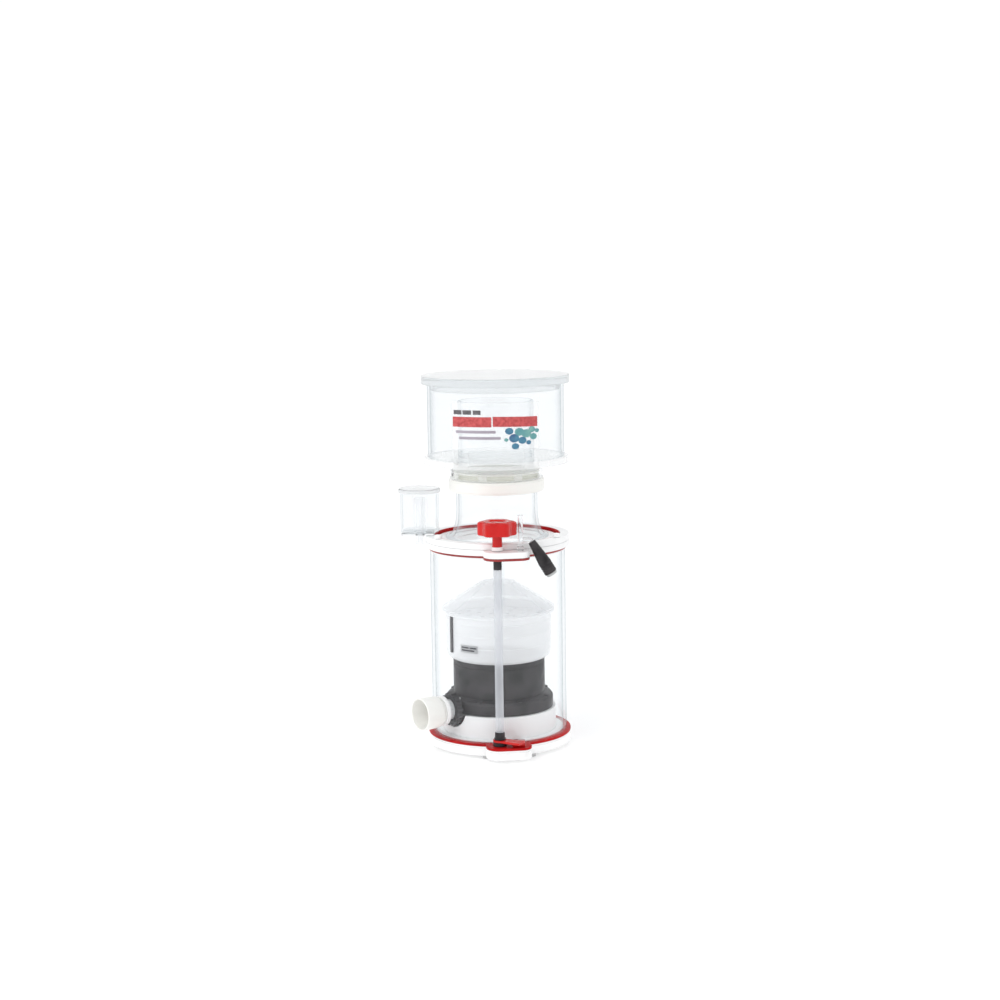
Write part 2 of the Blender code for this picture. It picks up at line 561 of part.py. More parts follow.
def build_air_line():
    """Inner air pipe, then the swivelling port tube with its elbow and hanging muffler."""
    tube("air_pipe", 7.5, 5.5, 220, SEAL_TOP - GAP, "clear_acrylic", MEDIUM, (2, -75))
    shoulder, top = CLAMP_TOP + 0.4, 358.0
    port = turned("port_tube", [(0, SEAL_TOP + 1), (3.1, SEAL_TOP + 1), (3.1, shoulder), (4.6, shoulder),
                                (4.6, shoulder + 5), (3.9, shoulder + 5.5), (3.9, top), (0, top)],
                  "clear_acrylic", MEDIUM, (PORT_X, PORT_Y))
    z = CLAMP_TOP + 16
    start = Vector((PORT_X + 16, PORT_Y, z - 3))
    along = Vector((0.515, 0.0, -0.857))
    bend = 4.5
    elbow_route = [(PORT_X + 4.3, PORT_Y, z), (PORT_X + 8, PORT_Y, z)]
    elbow_route += [(PORT_X + 11.65 + bend * math.sin(turn), PORT_Y, z - bend + bend * math.cos(turn))
                    for turn in (0, 0.35, 0.7)]
    elbow_route.append(start - along * 0.8)
    elbow = pipe("air_elbow", elbow_route, 3.2, "clear_acrylic")
    length = 52.0
    muffler = turned("muffler", [(0, 0), (5.4, 0), (6.2, 8), (7.6, 20), (9.2, 34), (9.4, length), (0, length)],
                     "black_plastic", MEDIUM, direction=(start, along))
    end = turned("muffler_end", [(0, length + GAP), (8.2, length + GAP), (7.6, length + 4), (0, length + 4)],
                 "grey_foam", MEDIUM, direction=(start, along))
    pivot("port_axis", (PORT_X, PORT_Y, 0), [port, elbow, muffler, end])


def build_silencer():
    """Clear silencer can on a bracket over the flange's left edge, with its lid, core tube and hose tail."""
    spot = (SILENCER_X, SILENCER_Y)
    low, high, r = RIM_TOP + 3.3, 378.0, SILENCER_R
    bracket = rectangle(SILENCER_X - 27, -19, -CAP_R - 1.5, 19)
    plate("silencer_bracket", [bracket, circle(SILENCER_X, SILENCER_Y, 7, SMALL)], RIM_TOP, low - GAP,
          "clear_acrylic")
    turned("silencer_can", [(6.5, low), (r, low), (r, high), (r - 2.5, high), (r - 2.5, low + 3),
                            (6.5, low + 3)], "clear_acrylic", 32, spot)
    turned("silencer_lid", [(0, high + GAP), (r + 2.5, high + GAP), (r + 2.5, high + 5), (r + 1.5, high + 6),
                            (0, high + 6)], "clear_acrylic", 32, spot)
    turned("silencer_core", [(4, low - 19), (6.2, low - 19), (6.2, low + 4), (8.5, low + 4), (8.5, high - 8),
                             (6, high - 8), (6, low + 6), (4, low + 6)], "frosted_acrylic", SMALL, spot)


def main():
    clear_scene()
    build_base()
    build_body_tube()
    build_pump()
    build_mixing_drum()
    build_suction()
    build_flanges()
    build_neck()
    build_cup()
    build_lid()
    build_valve()
    build_air_line()
    build_silencer()


main()
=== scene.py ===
"""Looks of the protein skimmer: clear plastics, red and black mouldings, label print, light and camera."""
import json
import math

import bmesh
import bpy
from mathutils import Matrix, Vector

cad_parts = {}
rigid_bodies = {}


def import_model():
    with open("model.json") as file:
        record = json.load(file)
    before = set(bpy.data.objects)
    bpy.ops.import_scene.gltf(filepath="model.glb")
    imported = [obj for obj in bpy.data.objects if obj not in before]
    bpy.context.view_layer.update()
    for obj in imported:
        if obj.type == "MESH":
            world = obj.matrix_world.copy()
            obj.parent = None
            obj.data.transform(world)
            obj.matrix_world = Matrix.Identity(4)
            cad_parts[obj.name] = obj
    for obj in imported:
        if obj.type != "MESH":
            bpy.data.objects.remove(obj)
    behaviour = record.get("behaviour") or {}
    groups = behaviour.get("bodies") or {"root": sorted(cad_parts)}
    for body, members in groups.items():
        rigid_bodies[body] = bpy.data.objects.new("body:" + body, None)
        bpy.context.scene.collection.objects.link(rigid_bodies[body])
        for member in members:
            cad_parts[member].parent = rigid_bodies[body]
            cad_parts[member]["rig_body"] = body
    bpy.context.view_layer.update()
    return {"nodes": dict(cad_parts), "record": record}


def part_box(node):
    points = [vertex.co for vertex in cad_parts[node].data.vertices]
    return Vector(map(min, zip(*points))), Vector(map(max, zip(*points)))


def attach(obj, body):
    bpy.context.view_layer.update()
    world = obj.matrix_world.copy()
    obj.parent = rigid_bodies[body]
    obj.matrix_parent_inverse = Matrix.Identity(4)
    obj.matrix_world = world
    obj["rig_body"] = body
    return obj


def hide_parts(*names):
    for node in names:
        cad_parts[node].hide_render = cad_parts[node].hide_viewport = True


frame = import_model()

NODES = frame["nodes"]
MM = 0.001
ROUND = 128          # facets round a large turned piece
FRONT = -90.0        # angle of the front, in degrees round the body's axis

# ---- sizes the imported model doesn't state, in millimetres -----------------------------------------
TUBE_WALL, CUP_WALL, RISER_WALL, CAN_WALL, PIPE_WALL = 5.0, 4.0, 3.5, 2.5, 2.0
LID_DISC, LIP_R, LIP_WALL = 11.7, 95.0, 5.0
FLOOR_DISC, SPIGOT_R, RISER_BORE, DRAIN_HOLE = 9.7, 64.0, 55.8, 5.0
BELL_WALL, BELL_FLARE_R, BELL_FOOT, BELL_BEND = 3.5, 72.0, 3.0, 43.0
STAND_WALL = 14.0
HOUSING_FOOT, HOUSING_WALL, HOUSING_SCREWS = 12.0, 4.0, 8
DRUM_RIM, DRUM_WALL, PLATE_RISE = 5.0, 3.0, 18.0
CONE_FOOT, CONE_THROAT, CONE_TOP = 79.0, 23.0, 26.0
SUCTION_Z, SUCTION_R, SUCTION_HOLE = 62.0, 15.0, 15.3
SUCTION_LINE = Vector((-0.82, -0.57, 0.0)).normalized()
SPOUT, WASHER = (107.0, 141.0), (100.5, 106.5)       # distances from the body's axis
ROD_LOBE, PORT_LOBE = (0.0, -112.0, 20.0), (30.0, -112.0, 16.0)
RED_BORE, WHITE_BORE, RIM_BORE = 88.0, 62.0, 92.6
ROD_HOLE, PORT_HOLE, GLAND_HOLE, SCREW_HOLE, ROD_RELIEF = 4.0, 3.4, 4.5, 2.8, 8.5
TRIM_WHITE, SEAL_RED = 2.2, 3.2                      # depths of the trim's white layer and the seal's red one
KNOB_HEAD, KNOB_LOBES, LOBE_DEPTH, KNOB_STEM, SPINDLE_BORE = 20.0, 6, 2.2, 7.0, 3.3
MUFFLER_START, MUFFLER_LINE = (16.0, 13.0), Vector((0.515, 0.0, -0.857)).normalized()
MUFFLER_LENGTH = 52.0
FOOT_CHANNEL = (20.0, -118.0, 34.0, -79.0, 9.5)
OUTLET, INNER_SLOT = (21.0, -117.0, 33.0, -107.0), (18.0, -86.0, 36.0, -80.0)

# ---- stage ----------------------------------------------------------------------------------------
FLOOR_HALF = 12.0                                    # metres
SOFT_BOX_AT, SOFT_BOX_AIM, SOFT_BOX_SIZE, SOFT_BOX_WATTS = (-1.3, -1.5, 2.1), (0, 0, 0.3), (1.6, 1.2), 16
CAMERA_AT, CAMERA_DOWN, CAMERA_ROLL, CAMERA_LENS = (0.0048, -2.80, 0.752), 7.88, 0.8, 69.0
LIGHT_BOUNCES = 40                                   # enough to pass through every clear wall


# ---- reading the frame ----------------------------------------------------------------------------
SLOT_OF = {part["node"]: part["material_slot"] for part in frame["record"]["subparts"]}


def extents(node):
    """Centre, radius and heights of an upright turned CAD node, in millimetres."""
    low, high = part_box(node)
    centre = ((low.x + high.x) / 2 / MM, (low.y + high.y) / 2 / MM)
    return centre, (high.x - low.x) / 2 / MM, low.z / MM, high.z / MM


def body_of(node):
    """The body that a CAD node moves with."""
    return NODES[node]["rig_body"]


# ---- mesh tools -----------------------------------------------------------------------------------
def rounded(profile, radius, steps=3):
    """The outline with each corner off the axis turned into a small arc."""
    points = []
    count = len(profile)
    for i, point in enumerate(profile):
        here = Vector(point)
        before, after = Vector(profile[i - 1]) - here, Vector(profile[(i + 1) % count]) - here
        if here.x < 1e-6 or before.angle(after) > math.radians(160):
            points.append(here)
            continue
        reach = min(radius, before.length * 0.45, after.length * 0.45)
        a, b = here + before.normalized() * reach, here + after.normalized() * reach
        for k in range(steps + 1):
            t = k / steps
            points.append(a * (1 - t) ** 2 + here * 2 * t * (1 - t) + b * t ** 2)
    return points


def add_piece(name, mesh, material):
    """A smooth-shaded object whose flat faces stay flat beside their rounded edges."""
    mesh.shade_smooth()
    mesh.set_sharp_from_angle(angle=math.radians(45))
    obj = bpy.data.objects.new(name, mesh)
    bpy.context.scene.collection.objects.link(obj)
    mesh.materials.clear()
    mesh.materials.append(material)
    weighted = obj.modifiers.new("even_normals", "WEIGHTED_NORMAL")
    weighted.weight = 100
    weighted.keep_sharp = True
    return obj


def mesh_object(name, verts, faces, material):
    """A closed object from points in millimetres."""
    mesh = bpy.data.meshes.new(name)
    bm = bmesh.new()
    points = [bm.verts.new(Vector(v) * MM) for v in verts]
    for face in faces:
        bm.faces.new([points[i] for i in face])
    bmesh.ops.recalc_face_normals(bm, faces=bm.faces)
    bm.to_mesh(mesh)
    bm.free()
    return add_piece(name, mesh, material)


def lathe(name, profile, material, place=None, segments=ROUND, wave=None):
    """A closed outline of (radius, height) points turned about an axis. Place moves it from the origin.
    Wave gives the factor by which the outermost points swell at an angle."""
    place = place or Matrix.Identity(4)
    widest = max(radius for radius, height in profile)
    verts, faces, rings = [], [], []
    for radius, height in profile:
        first = len(verts)
        count = 1 if radius < 1e-6 else segments
        for i in range(count):
            angle = 2 * math.pi * i / segments
            swell = wave(angle) if wave and radius > widest * 0.8 else 1.0
            point = Vector((radius * swell * math.cos(angle), radius * swell * math.sin(angle), height))
            verts.append(place @ point)
        rings.append([first + i % count for i in range(segments)])
    for here, there in zip(rings, rings[1:] + rings[:1]):
        for i in range(segments):
            j = (i + 1) % segments
            corners = list(dict.fromkeys([here[i], here[j], there[j], there[i]]))
            if len(corners) > 2:
                faces.append(corners)
    return mesh_object(name, verts, faces, material)


def upright(x, y):
    """Moves the origin to a place on the floor."""
    return Matrix.Translation((x, y, 0))


def aimed(start, along):
    """Turns +Z to a direction and moves the origin to a start point."""
    turn = Vector((0, 0, 1)).rotation_difference(along).to_matrix().to_4x4()
    return Matrix.Translation(start) @ turn


def circle(x, y, radius, segments=64):
    """Points round a circle."""
    step = 2 * math.pi / segments
    return [(x + radius * math.cos(i * step), y + radius * math.sin(i * step)) for i in range(segments)]


def rectangle(x0, y0, x1, y1):
    """Corners of a rectangle between two opposite ones."""
    return [(x0, y0), (x1, y0), (x1, y1), (x0, y1)]


def plate(name, loops, low, high, material, edge=0.8):
    """A flat plate with rounded edges from an outline and its holes."""
    curve = bpy.data.curves.new(name, "CURVE")
    curve.dimensions = "2D"
    curve.fill_mode = "BOTH"
    curve.extrude = ((high - low) / 2 - edge) * MM
    curve.bevel_depth = edge * MM
    curve.bevel_resolution = 2
    curve.offset = -edge * MM
    for loop in loops:
        spline = curve.splines.new("POLY")
        spline.points.add(len(loop) - 1)
        for point, (x, y) in zip(spline.points, loop):
            point.co = (x * MM, y * MM, 0, 1)
        spline.use_cyclic_u = True
    outline = bpy.data.objects.new(name + "_outline", curve)
    bpy.context.scene.collection.objects.link(outline)
    mesh = bpy.data.meshes.new_from_object(outline.evaluated_get(bpy.context.evaluated_depsgraph_get()))
    bpy.data.objects.remove(outline)
    bm = bmesh.new()
    bm.from_mesh(mesh)
    bmesh.ops.remove_doubles(bm, verts=bm.verts, dist=1e-6)
    bmesh.ops.translate(bm, verts=bm.verts, vec=(0, 0, (low + high) / 2 * MM))
    bmesh.ops.recalc_face_normals(bm, faces=bm.faces)
    bm.to_mesh(mesh)
    bm.free()
    return add_piece(name, mesh, material)


def far_hit(angle, x, y, radius):
    """How far a ray from the origin at this angle runs before it leaves the circle, or 0 if it misses."""
    along = x * math.cos(angle) + y * math.sin(angle)
    square = along * along - (x * x + y * y - radius * radius)
    return along + math.sqrt(square) if square > 0 else 0.0


def lobed(radius, steps=288, spans=12):
    """A disc with the one front lobe that carries the valve rod and the air port."""
    lobes = [tuple(a + (b - a) * i / spans for a, b in zip(ROD_LOBE, PORT_LOBE)) for i in range(spans + 1)]
    outline = []
    for i in range(steps):
        angle = 2 * math.pi * i / steps
        reach = max([radius] + [far_hit(angle, *lobe) for lobe in lobes])
        outline.append((reach * math.cos(angle), reach * math.sin(angle)))
    return outline


def wrapped(name, patch, material, steps=24, thickness=0.25):
    """A thin curved bar round the body's axis. Patch gives its radius, start and end angle, and the heights
    of its two long edges at the start and at the end."""
    radius, start, end, low, high, low_end, high_end = patch
    verts, faces = [], []
    for i in range(steps + 1):
        t = i / steps
        angle = math.radians(start + (end - start) * t)
        bottom, top = low + (low_end - low) * t, high + (high_end - high) * t
        for r, z in ((radius, bottom), (radius + thickness, bottom), (radius + thickness, top), (radius, top)):
            verts.append((r * math.cos(angle), r * math.sin(angle), z))
    for i in range(steps):
        for k in range(4):
            a, b = 4 * i + k, 4 * i + (k + 1) % 4
            faces.append([a, b, b + 4, a + 4])
    faces += [[0, 1, 2, 3], [4 * steps + k for k in range(4)]]
    return mesh_object(name, verts, faces, material)


def cut(obj, cutter):
    """Takes cutter out of obj for good and removes the cutter."""
    material = obj.data.materials[0]
    modifier = obj.modifiers.new("cut", "BOOLEAN")
    modifier.operation = "DIFFERENCE"
    modifier.solver = "EXACT"
    modifier.object = cutter
    obj.modifiers.move(len(obj.modifiers) - 1, 0)
    obj.modifiers["even_normals"].show_viewport = False
    bpy.context.view_layer.update()
    mesh = bpy.data.meshes.new_from_object(obj.evaluated_get(bpy.context.evaluated_depsgraph_get()))
    obj.modifiers.remove(modifier)
    obj.modifiers["even_normals"].show_viewport = True
    obj.data = mesh
    mesh.shade_smooth()
    mesh.set_sharp_from_angle(angle=math.radians(45))
    mesh.materials.clear()
    mesh.materials.append(material)
    bpy.data.objects.remove(cutter)
    return obj


def stand_for(obj, *nodes):
    """The piece takes the CAD nodes' place and rides on their body."""
    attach(obj, body_of(nodes[0]))
    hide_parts(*nodes)
    return obj


def detail(obj, body, slot):
    """An added piece that rides on a body."""
    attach(obj, body)
    return obj


# ---- materials ------------------------------------------------------------------------------------
def blank(name):
    """A new material, its node tree and its shader."""
    made = bpy.data.materials.new(name)
    made.use_nodes = True
    tree = made.node_tree
    return made, tree, tree.nodes["Principled BSDF"]


def noise_of(tree, scale, detail=4.0, stretch=(1, 1, 1)):
    """Noise in the object's own space. Scale counts its cells to a metre."""
    place = tree.nodes.new("ShaderNodeTexCoord")
    mapping = tree.nodes.new("ShaderNodeMapping")
    mapping.inputs["Scale"].default_value = stretch
    noise = tree.nodes.new("ShaderNodeTexNoise")
    noise.inputs["Scale"].default_value = scale
    noise.inputs["Detail"].default_value = detail
    tree.links.new(place.outputs["Object"], mapping.inputs["Vector"])
    tree.links.new(mapping.outputs["Vector"], noise.inputs["Vector"])
    return noise.outputs["Fac"]


def ramp_of(tree, source, stops):
    """A colour ramp with stops of (position, colour)."""
    ramp = tree.nodes.new("ShaderNodeValToRGB")
    elements = ramp.color_ramp.elements
    for element, (position, colour) in zip(elements, stops):
        element.position = position
        element.color = (*colour, 1)
    for position, colour in stops[2:]:
        element = elements.new(position)
        element.color = (*colour, 1)
    tree.links.new(source, ramp.inputs["Fac"])
    return ramp.outputs["Color"]


def spread_of(tree, source, low, high, start=0.3, end=0.7):
    """Maps a factor to a range of values."""
    spread = tree.nodes.new("ShaderNodeMapRange")
    spread.inputs["From Min"].default_value = start
    spread.inputs["From Max"].default_value = end
    spread.inputs["To Min"].default_value = low
    spread.inputs["To Max"].default_value = high
    tree.links.new(source, spread.inputs["Value"])
    return spread.outputs["Result"]


def bump_of(tree, source, strength, distance):
    """A normal that follows the source as height."""
    bump = tree.nodes.new("ShaderNodeBump")
    bump.inputs["Strength"].default_value = strength
    bump.inputs["Distance"].default_value = distance
    tree.links.new(source, bump.inputs["Height"])
    return bump.outputs["Normal"]


def clear_plastic(name, tint, density, rough=(0.0, 0.03), haze=0.0):
    """Solid acrylic: refracts, and its thickness greys the light a little. Haze is the share it scatters."""
    made, tree, shader = blank(name)
    drift = noise_of(tree, 14)
    deeper = tuple(c * 0.985 for c in tint)
    tree.links.new(ramp_of(tree, drift, [(0.3, deeper), (0.7, tint)]), shader.inputs["Base Color"])
    tree.links.new(spread_of(tree, noise_of(tree, 120, 5), *rough), shader.inputs["Roughness"])
    shader.inputs["Transmission Weight"].default_value = 1.0 - haze
    shader.inputs["IOR"].default_value = 1.49
    if density:
        volume = tree.nodes.new("ShaderNodeVolumeAbsorption")
        volume.inputs["Color"].default_value = (0.30, 0.45, 0.52, 1)
        volume.inputs["Density"].default_value = density
        tree.links.new(volume.outputs["Volume"], tree.nodes["Material Output"].inputs["Volume"])
    return made


def thin_clear(name, tint, edge):
    """Clear tube wall: light passes straight through it, with a faint gloss. The grey where the wall is seen
    edge on is painted shade, standing in for the dark surroundings that the wall shows there. Tint and edge
    colour the light that gets through, seen square on and edge on."""
    made, tree, shader = blank(name)
    facing = tree.nodes.new("ShaderNodeLayerWeight")
    facing.inputs["Blend"].default_value = 0.5
    wobble = tree.nodes.new("ShaderNodeMath")
    wobble.operation = "MULTIPLY_ADD"
    tree.links.new(noise_of(tree, 30, 3, (1, 1, 0.3)), wobble.inputs[0])
    wobble.inputs[1].default_value = 0.06
    tree.links.new(facing.outputs["Facing"], wobble.inputs[2])
    through = tree.nodes.new("ShaderNodeBsdfTransparent")
    middle = tuple(0.75 * a + 0.25 * b for a, b in zip(tint, edge))
    stops = [(0.0, tint), (0.60, tint), (0.86, middle), (1.0, edge)]
    tree.links.new(ramp_of(tree, wobble.outputs["Value"], stops), through.inputs["Color"])
    shader.inputs["Metallic"].default_value = 1.0
    tree.links.new(ramp_of(tree, noise_of(tree, 14), [(0.3, (0.86, 0.88, 0.90)), (0.7, (0.93, 0.94, 0.95))]),
                   shader.inputs["Base Color"])
    tree.links.new(spread_of(tree, noise_of(tree, 120, 5), 0.03, 0.10), shader.inputs["Roughness"])
    mix = tree.nodes.new("ShaderNodeMixShader")
    tree.links.new(spread_of(tree, facing.outputs["Facing"], 0.025, 0.30, 0.45, 1.0), mix.inputs["Fac"])
    tree.links.new(through.outputs["BSDF"], mix.inputs[1])
    tree.links.new(shader.outputs["BSDF"], mix.inputs[2])
    tree.links.new(mix.outputs["Shader"], tree.nodes["Material Output"].inputs["Surface"])
    return made


def sheer_plastic(name, colours, cover, rough=(0.10, 0.22), painted_glow=0.0):
    """Thin-walled plastic: light passes straight through, less of it where the wall is seen edge on.
    Cover gives how much of it hides what is behind, seen square on and edge on. The glow argument is painted
    light: an even emission that stands in for the light soaking through the wall from its other side."""
    made, tree, shader = blank(name)
    tree.links.new(ramp_of(tree, noise_of(tree, 20, 5), [(0.3, colours[0]), (0.7, colours[1])]),
                   shader.inputs["Base Color"])
    tree.links.new(spread_of(tree, noise_of(tree, 110, 5), *rough), shader.inputs["Roughness"])
    through = tree.nodes.new("ShaderNodeBsdfTransparent")
    through.inputs["Color"].default_value = (1, 1, 1, 1)
    # Painted light: an emission that brightens the wall evenly, whatever the lamps do.
    shader.inputs["Emission Color"].default_value = (1, 1, 1, 1)
    shader.inputs["Emission Strength"].default_value = painted_glow
    facing = tree.nodes.new("ShaderNodeLayerWeight")
    facing.inputs["Blend"].default_value = 0.35
    mix = tree.nodes.new("ShaderNodeMixShader")
    tree.links.new(spread_of(tree, facing.outputs["Facing"], *cover, start=0.0, end=1.0), mix.inputs["Fac"])
    tree.links.new(through.outputs["BSDF"], mix.inputs[1])
    tree.links.new(shader.outputs["BSDF"], mix.inputs[2])
    tree.links.new(mix.outputs["Shader"], tree.nodes["Material Output"].inputs["Surface"])
    return made


def moulded_plastic(name, colours, rough, grain=(900, 0.06, 0.0001), coat=0.0, specular=0.5, drift=18):
    """Opaque plastic: colour that drifts from patch to patch, uneven gloss and a fine surface grain."""
    made, tree, shader = blank(name)
    tree.links.new(ramp_of(tree, noise_of(tree, drift, 5), [(0.3, colours[0]), (0.72, colours[1])]),
                   shader.inputs["Base Color"])
    tree.links.new(spread_of(tree, noise_of(tree, 90, 6), *rough), shader.inputs["Roughness"])
    scale, strength, distance = grain
    tree.links.new(bump_of(tree, noise_of(tree, scale, 2), strength, distance), shader.inputs["Normal"])
    shader.inputs["Specular IOR Level"].default_value = specular
    shader.inputs["Coat Weight"].default_value = coat
    shader.inputs["Coat Roughness"].default_value = 0.05
    return made


MATERIALS = {}


def make_clear_materials():
    """Acrylic and film that light passes through."""
    MATERIALS.update({
        "clear": clear_plastic("clear_acrylic", (0.985, 0.992, 0.996), 2.0),
        # The tube's edge colour is painted shade for the dark surroundings seen in its walls edge on.
        "tube": thin_clear("clear_tube_acrylic", (0.985, 0.99, 0.992), (0.62, 0.66, 0.68)),
        "clear_plate": clear_plastic("clear_plate_acrylic", (0.975, 0.985, 0.992), 1.6, (0.03, 0.08), 0.22),
        # Frosted, hazy and milky plate acrylic get a painted glow that brightens them where they sit in shade;
        # the milky foot plate, in the floor's shade, gets the most.
        "frosted": sheer_plastic("milky_acrylic", ((0.955, 0.96, 0.975), (0.985, 0.985, 0.995)), (0.55, 0.8),
                                 painted_glow=0.05),
        "hazy": sheer_plastic("hazy_acrylic", ((0.93, 0.945, 0.97), (0.97, 0.975, 0.99)), (0.16, 0.46),
                              painted_glow=0.05),
        "milk_plate": sheer_plastic("milky_plate_acrylic", ((0.955, 0.96, 0.96), (0.98, 0.98, 0.98)),
                                    (0.60, 0.85), painted_glow=0.14),
        "hazy_plate": sheer_plastic("hazy_plate_acrylic", ((0.94, 0.945, 0.945), (0.975, 0.975, 0.97)),
                                    (0.20, 0.5)),
        "cloudy": sheer_plastic("cloudy_rod", ((0.62, 0.64, 0.68), (0.74, 0.76, 0.80)), (0.42, 0.9)),
        "film": sheer_plastic("label_film", ((0.93, 0.94, 0.95), (0.97, 0.97, 0.98)), (0.22, 0.4)),
    })


def make_red_and_white_materials():
    """Opaque acrylic and PVC of the knob, the trim plates and the fittings."""
    MATERIALS.update({
        "red": moulded_plastic("red_acrylic", ((0.50, 0.002, 0.002), (0.66, 0.005, 0.003)), (0.16, 0.28),
                               coat=0.1, specular=0.3),
        "deep_red": moulded_plastic("deep_red_acrylic", ((0.38, 0.004, 0.006), (0.52, 0.008, 0.008)),
                                    (0.35, 0.5), specular=0.12),
        # Seal plate red: a darker, browner copy of the red acrylic, painted shade for the plate's edge, which
        # sits in shade.
        "shade_painted_red": moulded_plastic("red_acrylic_painted_shade", ((0.30, 0.045, 0.045), (0.42, 0.075, 0.07)),
                                     (0.35, 0.5), specular=0.12),
        "white": moulded_plastic("white_pvc", ((0.90, 0.90, 0.90), (0.95, 0.95, 0.95)), (0.28, 0.42)),
        "cream": moulded_plastic("cream_pvc", ((0.91, 0.90, 0.86), (0.95, 0.945, 0.91)), (0.28, 0.42)),
    })


def make_dark_and_soft_materials():
    """Black mouldings, rubber, silicone, foam and the pump's inner parts."""
    MATERIALS.update({
        "black": moulded_plastic("black_moulding", ((0.004, 0.003, 0.004), (0.058, 0.052, 0.056)), (0.30, 0.6),
                                 (700, 0.35, 0.0002), specular=0.3, drift=42),
        "worn_black": moulded_plastic("worn_black_moulding", ((0.03, 0.028, 0.03), (0.10, 0.095, 0.10)),
                                      (0.3, 0.5), (900, 0.3, 0.0002)),
        "rubber": moulded_plastic("black_rubber", ((0.02, 0.02, 0.02), (0.035, 0.035, 0.035)), (0.7, 0.85),
                                  (1800, 0.4, 0.0002)),
        "silicone": moulded_plastic("olive_silicone", ((0.68, 0.69, 0.62), (0.78, 0.79, 0.72)), (0.45, 0.6)),
        "grey_rubber": moulded_plastic("grey_rubber", ((0.50, 0.50, 0.50), (0.60, 0.60, 0.60)), (0.6, 0.8),
                                       (1800, 0.3, 0.0002)),
        "foam": moulded_plastic("grey_foam", ((0.42, 0.43, 0.43), (0.66, 0.67, 0.66)), (0.85, 0.95),
                                (1500, 0.8, 0.0006)),
        "ceramic": moulded_plastic("white_ceramic", ((0.78, 0.77, 0.73), (0.86, 0.85, 0.81)), (0.15, 0.25)),
        "magnet": moulded_plastic("dark_magnet", ((0.04, 0.04, 0.045), (0.07, 0.07, 0.075)), (0.3, 0.45)),
    })


def make_inks():
    """Printing inks: name, darker and lighter colour, and how finely the colour drifts."""
    for name, darker, lighter, drift in (
            ("ink_black", (0.015, 0.015, 0.02), (0.05, 0.05, 0.06), 18),
            ("ink_dark", (0.08, 0.075, 0.08), (0.17, 0.16, 0.17), 260),
            ("ink_red", (0.38, 0.035, 0.04), (0.66, 0.11, 0.11), 260),
            ("ink_silver", (0.36, 0.36, 0.37), (0.48, 0.48, 0.49), 18),
            ("ink_grey", (0.32, 0.28, 0.33), (0.45, 0.40, 0.46), 18),
            ("ink_teal", (0.06, 0.25, 0.30), (0.20, 0.42, 0.38), 120),
            ("ink_blue", (0.04, 0.09, 0.22), (0.07, 0.26, 0.36), 120)):
        MATERIALS[name] = moulded_plastic(name, (darker, lighter), (0.35, 0.5), drift=drift)


def make_materials():
    make_clear_materials()
    make_red_and_white_materials()
    make_dark_and_soft_materials()
    make_inks()


LOOKS = {
    "clear_acrylic": "clear", "frosted_acrylic": "frosted", "red_acrylic": "red", "white_pvc": "white",
    "black_plastic": "black", "black_rubber": "rubber", "seal_silicone": "silicone", "grey_foam": "foam",
    "label_film": "film", "ceramic": "ceramic", "magnet": "magnet",
}
OWN_LOOKS = {
    "foot_plate": "milk_plate", "cup_floor": "hazy_plate", "cup_lid": "clear_plate",
    "silencer_lid": "clear_plate", "neck_collar": "cream", "suction_spout": "cream", "drum_cone": "hazy",
    "lock_ring": "hazy", "silencer_core": "hazy", "valve_rod": "cloudy", "union_nut": "worn_black",
    "cap_plate": "deep_red", "base_trim": "deep_red", "seal_plate": "shade_painted_red",
    **dict.fromkeys(("body_tube", "cup_wall", "cup_riser", "neck_bell", "silencer_can", "air_pipe"), "tube"),
    **dict.fromkeys(("back_foot", "left_foot", "middle_foot", "right_foot"), "grey_rubber"),
}


def look_of(node):
    """The node's own look, or else that of its material slot."""
    return MATERIALS[OWN_LOOKS.get(node, LOOKS[SLOT_OF[node]])]


def dress_nodes():
    """Gives every CAD node its material, welded seams, softened edges and smooth shading."""
    for node, obj in NODES.items():
        obj.data.materials.clear()
        obj.data.materials.append(look_of(node))
        obj.data.shade_smooth()
        weld = obj.modifiers.new("weld", "WELD")
        weld.merge_threshold = 0.00001
        bevel = obj.modifiers.new("soft_edges", "BEVEL")
        bevel.width = 0.0005
        bevel.segments = 2
        bevel.limit_method = "ANGLE"
        bevel.angle_limit = math.radians(40)
        weighted = obj.modifiers.new("even_normals", "WEIGHTED_NORMAL")
        weighted.weight = 100


# ---- pieces that take a CAD node's place ----------------------------------------------------------
def levels(node):
    """Lowest and highest point of a CAD node, in millimetres."""
    low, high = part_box(node)
    return low.z / MM, high.z / MM


def turned_for(node, outline, edge=0.6, segments=ROUND):
    """A fine turned piece for an upright turned node. Outline is a function of its radius and heights."""
    centre, radius, low, high = extents(node)
    profile = rounded(outline(radius, low, high), edge)
    return stand_for(lathe(node + "_shell", profile, look_of(node), upright(*centre), segments), node)


def sleeve(wall):
    """The outline of a plain tube with this wall."""
    return lambda r, low, high: [(r - wall, low), (r, low), (r, high), (r - wall, high)]


def bar(r, low, high):
    """The outline of a solid round bar."""
    return [(0, low), (r, low), (r, high), (0, high)]


def suction_axis():
    """Puts +Z on the suction line, with its origin on the body's axis."""
    return aimed((0, 0, SUCTION_Z), SUCTION_LINE)


def suction_cutter(radius, near, far):
    """A bar along the suction line, between two distances from the body's axis."""
    return lathe("suction_cutter", bar(radius, near, far), MATERIALS["white"], suction_axis(), 48)


def body_detail(obj, slot):
    """An added piece that stays with the body."""
    return detail(obj, "skimmer_body", slot)


